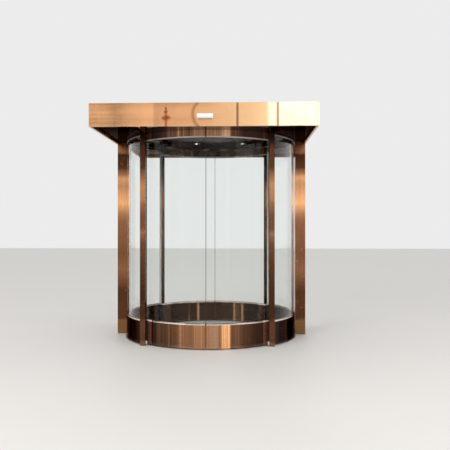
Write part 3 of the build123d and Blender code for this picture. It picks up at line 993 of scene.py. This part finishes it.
# %% Joint strips at the sides of the drum
JOINT_HALF, JOINT_PROUD = math.radians(0.24), 0.0018
heights = (bead_low, bead_high)
for side in SIDES:
    glass = rings["wall_glass_front_" + side]
    inner, outer = glass["inner"], glass["outer"]
    middle = math.pi / 2 if side == "right" else -math.pi / 2
    gap_half = abs(middle) - max(abs(glass["start"]), abs(glass["end"]))
    cover_turns = (middle - JOINT_HALF, middle + JOINT_HALF)
    bar_piece("pane_joint_" + side, silicone,
              (inner - JOINT_PROUD, inner, *heights, *cover_turns),
              (inner, outer, *heights, middle - gap_half, middle + gap_half),
              (outer, outer + JOINT_PROUD, *heights, *cover_turns))
print("pane joints", len(SIDES), "width mm", round(2000 * glass["outer"] * JOINT_HALF, 1))

# %% [markdown]
# ## Seals on the leaves
# Where two leaves meet, each has a slim black strip over its whole height, so the closed
# pair shows one thin dark line. A row of pile closes the gap to the post, and a sweep of
# bristles hangs from each leaf down to the floor ring.

# %% Meeting seals, post pile and floor sweeps
MEET_THICK, MEET_HALF = 0.0024, 0.007
SWEEP_HALF, SWEEP_CLEAR = 0.006, 0.0005
PILE_DEPTH, PILE_HALF_TURN, PILE_CLEAR = 0.0042, math.radians(0.35), 0.002
CLOSE = 0.1
ring_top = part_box("floor_ring")[1].z
for place in PLACES:
    side, end = quarter_signs(place)
    glass, rail = rings["leaf_glass_" + place], rings["leaf_bottom_rail_" + place]
    head = rings["leaf_top_rail_" + place]
    middle = (glass["inner"] + glass["outer"]) / 2
    # Closed leaves meet at turn 0 in front, and at half a turn in the rear.
    start = abs(glass["start"])
    at_start = min(start, abs(start - math.pi)) < CLOSE
    meeting, outward = (glass["start"], -1.0) if at_start else (glass["end"], 1.0)
    turns = sorted((meeting, meeting + outward * MEET_THICK / middle))
    bar_piece("meeting_seal_" + place, rubber,
              (middle - MEET_HALF, middle + MEET_HALF, rail["low"], head["high"], *turns),
              body="leaf_" + place)
    bar_piece("floor_sweep_" + place, pile,
              (middle - SWEEP_HALF, middle + SWEEP_HALF, ring_top + SWEEP_CLEAR, rail["low"],
               rail["start"], rail["end"]), body="leaf_" + place)
    post_low, post_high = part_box("post_" + place)
    corner_x = min(abs(post_low.x), abs(post_high.x))
    corner_y = min(abs(post_low.y), abs(post_high.y))
    corner_turn = math.atan2(side * corner_x, -end * corner_y)
    reach = math.hypot(corner_x, corner_y)
    bar_piece("post_pile_" + place, pile,
              (reach - PILE_DEPTH, reach + PILE_DEPTH, ring_top, SOFFIT - PILE_CLEAR,
               corner_turn - PILE_HALF_TURN, corner_turn + PILE_HALF_TURN))
print("leaf to pile mm", round(1000 * (reach - PILE_DEPTH - rail["outer"]), 2))

# %% [markdown]
# ## Sensor windows
# A sensor box looks down at people through a dark window on its underside. The window is
# a thin smoked lens with cut corners that stands a hair proud of the box.

# %% Sensor windows
MARGIN, LENS_THICK, CUT, SLOPE = 0.014, 0.0008, 0.003, 0.014


def smoked_finish():
    material, tree, shader = new_material("smoked_window", Metallic=0.0, Coat_Weight=0.6)
    where, x, y, z = places(tree)
    patch = use(tree, smudges, Size=0.05)["Patch"]
    body = blend(patch, (0.012, 0.011, 0.012), (0.03, 0.026, 0.026))
    set_look(shader, body, 0.12 + patch * 0.12, noise(where, 300.0, 1.0), 0.00005)
    return material


smoked = smoked_finish()
for end in ENDS:
    low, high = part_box("door_sensor_" + end)
    street_y, wall_y = (low.y + SLOPE, high.y) if end == "front" else (low.y, high.y - SLOPE)
    left, right = low.x + MARGIN, high.x - MARGIN
    near, far = street_y + CUT, wall_y - CUT
    outline = [(left, near + CUT), (left + CUT, near), (right - CUT, near), (right, near + CUT),
               (right, far - CUT), (right - CUT, far), (left + CUT, far), (left, far - CUT)]
    mesh = bmesh.new()
    add_prism(mesh, outline, low.z - LENS_THICK, low.z)
    finish_piece("sensor_window_" + end, mesh, smoked)
print("sensor windows", len(ENDS))

# %% [markdown]
# ## Downlights
# Each downlight is a flat satin disc with a small domed lens in a raised ring. Dome and
# ring are one profile turned round the lamp's middle. Only the lens glows.

# %% Downlight flange and lens
FLANGE_RADIUS = 0.045
LENS_RADIUS, LENS_DEPTH, LENS_RINGS, TURN_SIDES = 0.014, 0.005, 4, 32
RING_OUT, RING_DEPTH = 0.024, 0.003
lamp_low, lamp_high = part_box("downlights")
lamp_y = (lamp_low.y + lamp_high.y) / 2
LAMPS = ((lamp_low.x + FLANGE_RADIUS, lamp_y), (lamp_high.x - FLANGE_RADIUS, lamp_y))


def lens_finish():
    material, tree, shader = new_material("opal_lens", Metallic=0.0, Emission_Strength=12.0)
    where, x, y, z = places(tree)
    cells = noise(where, 220.0, 1.0)
    feed(shader.inputs["Emission Color"], blend(cells, (1.0, 0.9, 0.74), (1.0, 0.96, 0.86)))
    body = blend(cells, (0.82, 0.8, 0.76), (0.9, 0.88, 0.84))
    set_look(shader, body, 0.25 + cells * 0.2, cells, 0.0003)
    return material


def add_turned(mesh, centre, profile):
    # A closed skin turned round an upright line, from a profile of radius and drop.
    turns = [2 * math.pi * k / TURN_SIDES for k in range(TURN_SIDES)]
    rows = []
    for radius, drop in profile:
        height = lamp_low.z - drop
        if radius == 0.0:
            rows.append([mesh.verts.new((*centre, height))] * TURN_SIDES)
            continue
        circle = [(centre[0] + radius * math.cos(t), centre[1] + radius * math.sin(t), height) for t in turns]
        rows.append([mesh.verts.new(point) for point in circle])
    join_rows(mesh, rows, ends=False)


shares = [k / LENS_RINGS for k in range(LENS_RINGS + 1)]
dome = [(LENS_RADIUS * share, LENS_DEPTH * (1 - share ** 2)) for share in shares] + [(0.0, 0.0)]
band = [(LENS_RADIUS, 0.0), (LENS_RADIUS, RING_DEPTH), (RING_OUT - RING_DEPTH, RING_DEPTH),
        (RING_OUT, 0.0), (LENS_RADIUS, 0.0)]
lens_mesh, ring_mesh = bmesh.new(), bmesh.new()
for centre in LAMPS:
    add_turned(lens_mesh, centre, dome)
    add_turned(ring_mesh, centre, band)
bmesh.ops.remove_doubles(ring_mesh, verts=ring_mesh.verts, dist=1e-6)
finish_piece("downlight_lenses", lens_mesh, lens_finish())
satin = plain_metal("lamp_satin", (0.1, 0.105, 0.105), (0.15, 0.15, 0.15), 0.3, 0.05, 0.1,
                    Specular_Tint=(0.12, 0.12, 0.12, 1.0))
finish_piece("downlight_rings", ring_mesh, satin)
dress(["downlights"], satin)
print("downlights at", [(round(x, 3), round(y, 3)) for x, y in LAMPS])

# %% [markdown]
# ## Studio
# A pale floor, an even pale surround and large soft lamps. Two of the lamps stand upright
# and narrow on the street side, because polished metal only looks like metal when it has
# something bright and something dark to mirror. A card lamp far out faces the fascia, and
# its mirror image falls on the painted glare at the fascia's right end.

# %% Floor
FLOOR_SIZE, FLOOR_DROP = 60.0, 0.001


def floor_finish():
    material, tree, shader = new_material("floor_paint", Metallic=0.0)
    where, x, y, z = places(tree)
    cloud = noise(where, 0.8, 3.0)
    feed(shader.inputs["Base Color"], blend(cloud, (0.7, 0.68, 0.65), (0.74, 0.72, 0.69)))
    feed(shader.inputs["Roughness"], 0.5 + cloud * 0.1)
    return material


bpy.ops.mesh.primitive_plane_add(size=FLOOR_SIZE, location=(0.0, 0.0, -FLOOR_DROP))
floor = bpy.context.active_object
floor.name = "studio_floor"
floor.data.materials.append(floor_finish())
print("floor", FLOOR_SIZE, "m wide")

# %% Surround and lamps
world = bpy.data.worlds.new("studio")
scene.world = world
world.use_nodes = True
feed(world.node_tree.nodes["Background"].inputs["Color"], (0.84, 0.84, 0.84, 1.0))


def area_light(name, place, size, power, aim=(0.0, 0.0, 1.4)):
    # Size is width and height, power is in watts, and aim is the door's middle unless given.
    data = bpy.data.lights.new(name, "AREA")
    data.shape = "RECTANGLE"
    data.size, data.size_y = size
    data.energy = power
    lamp = bpy.data.objects.new(name, data)
    lamp.location = place
    lamp.rotation_euler = (Vector(aim) - Vector(place)).to_track_quat("-Z", "Y").to_euler()
    # Seen through the panes, a lamp would be a white card in the air, so the glass hides it.
    lamp.visible_transmission = False
    scene.collection.objects.link(lamp)


area_light("key", (-4.5, -7.5, 6.5), (4.0, 3.0), 260.0)
area_light("fill", (5.5, -5.0, 4.5), (4.0, 3.0), 110.0)
area_light("strip_right", (3.6, -7.6, 2.6), (0.8, 5.0), 26.0)
area_light("strip_left", (-4.8, -6.6, 2.6), (0.7, 5.0), 20.0)
area_light("fascia_card", (2.45, -12.0, 4.75), (2.6, 1.6), 26.0, aim=(0.6, 0.0, 2.7))
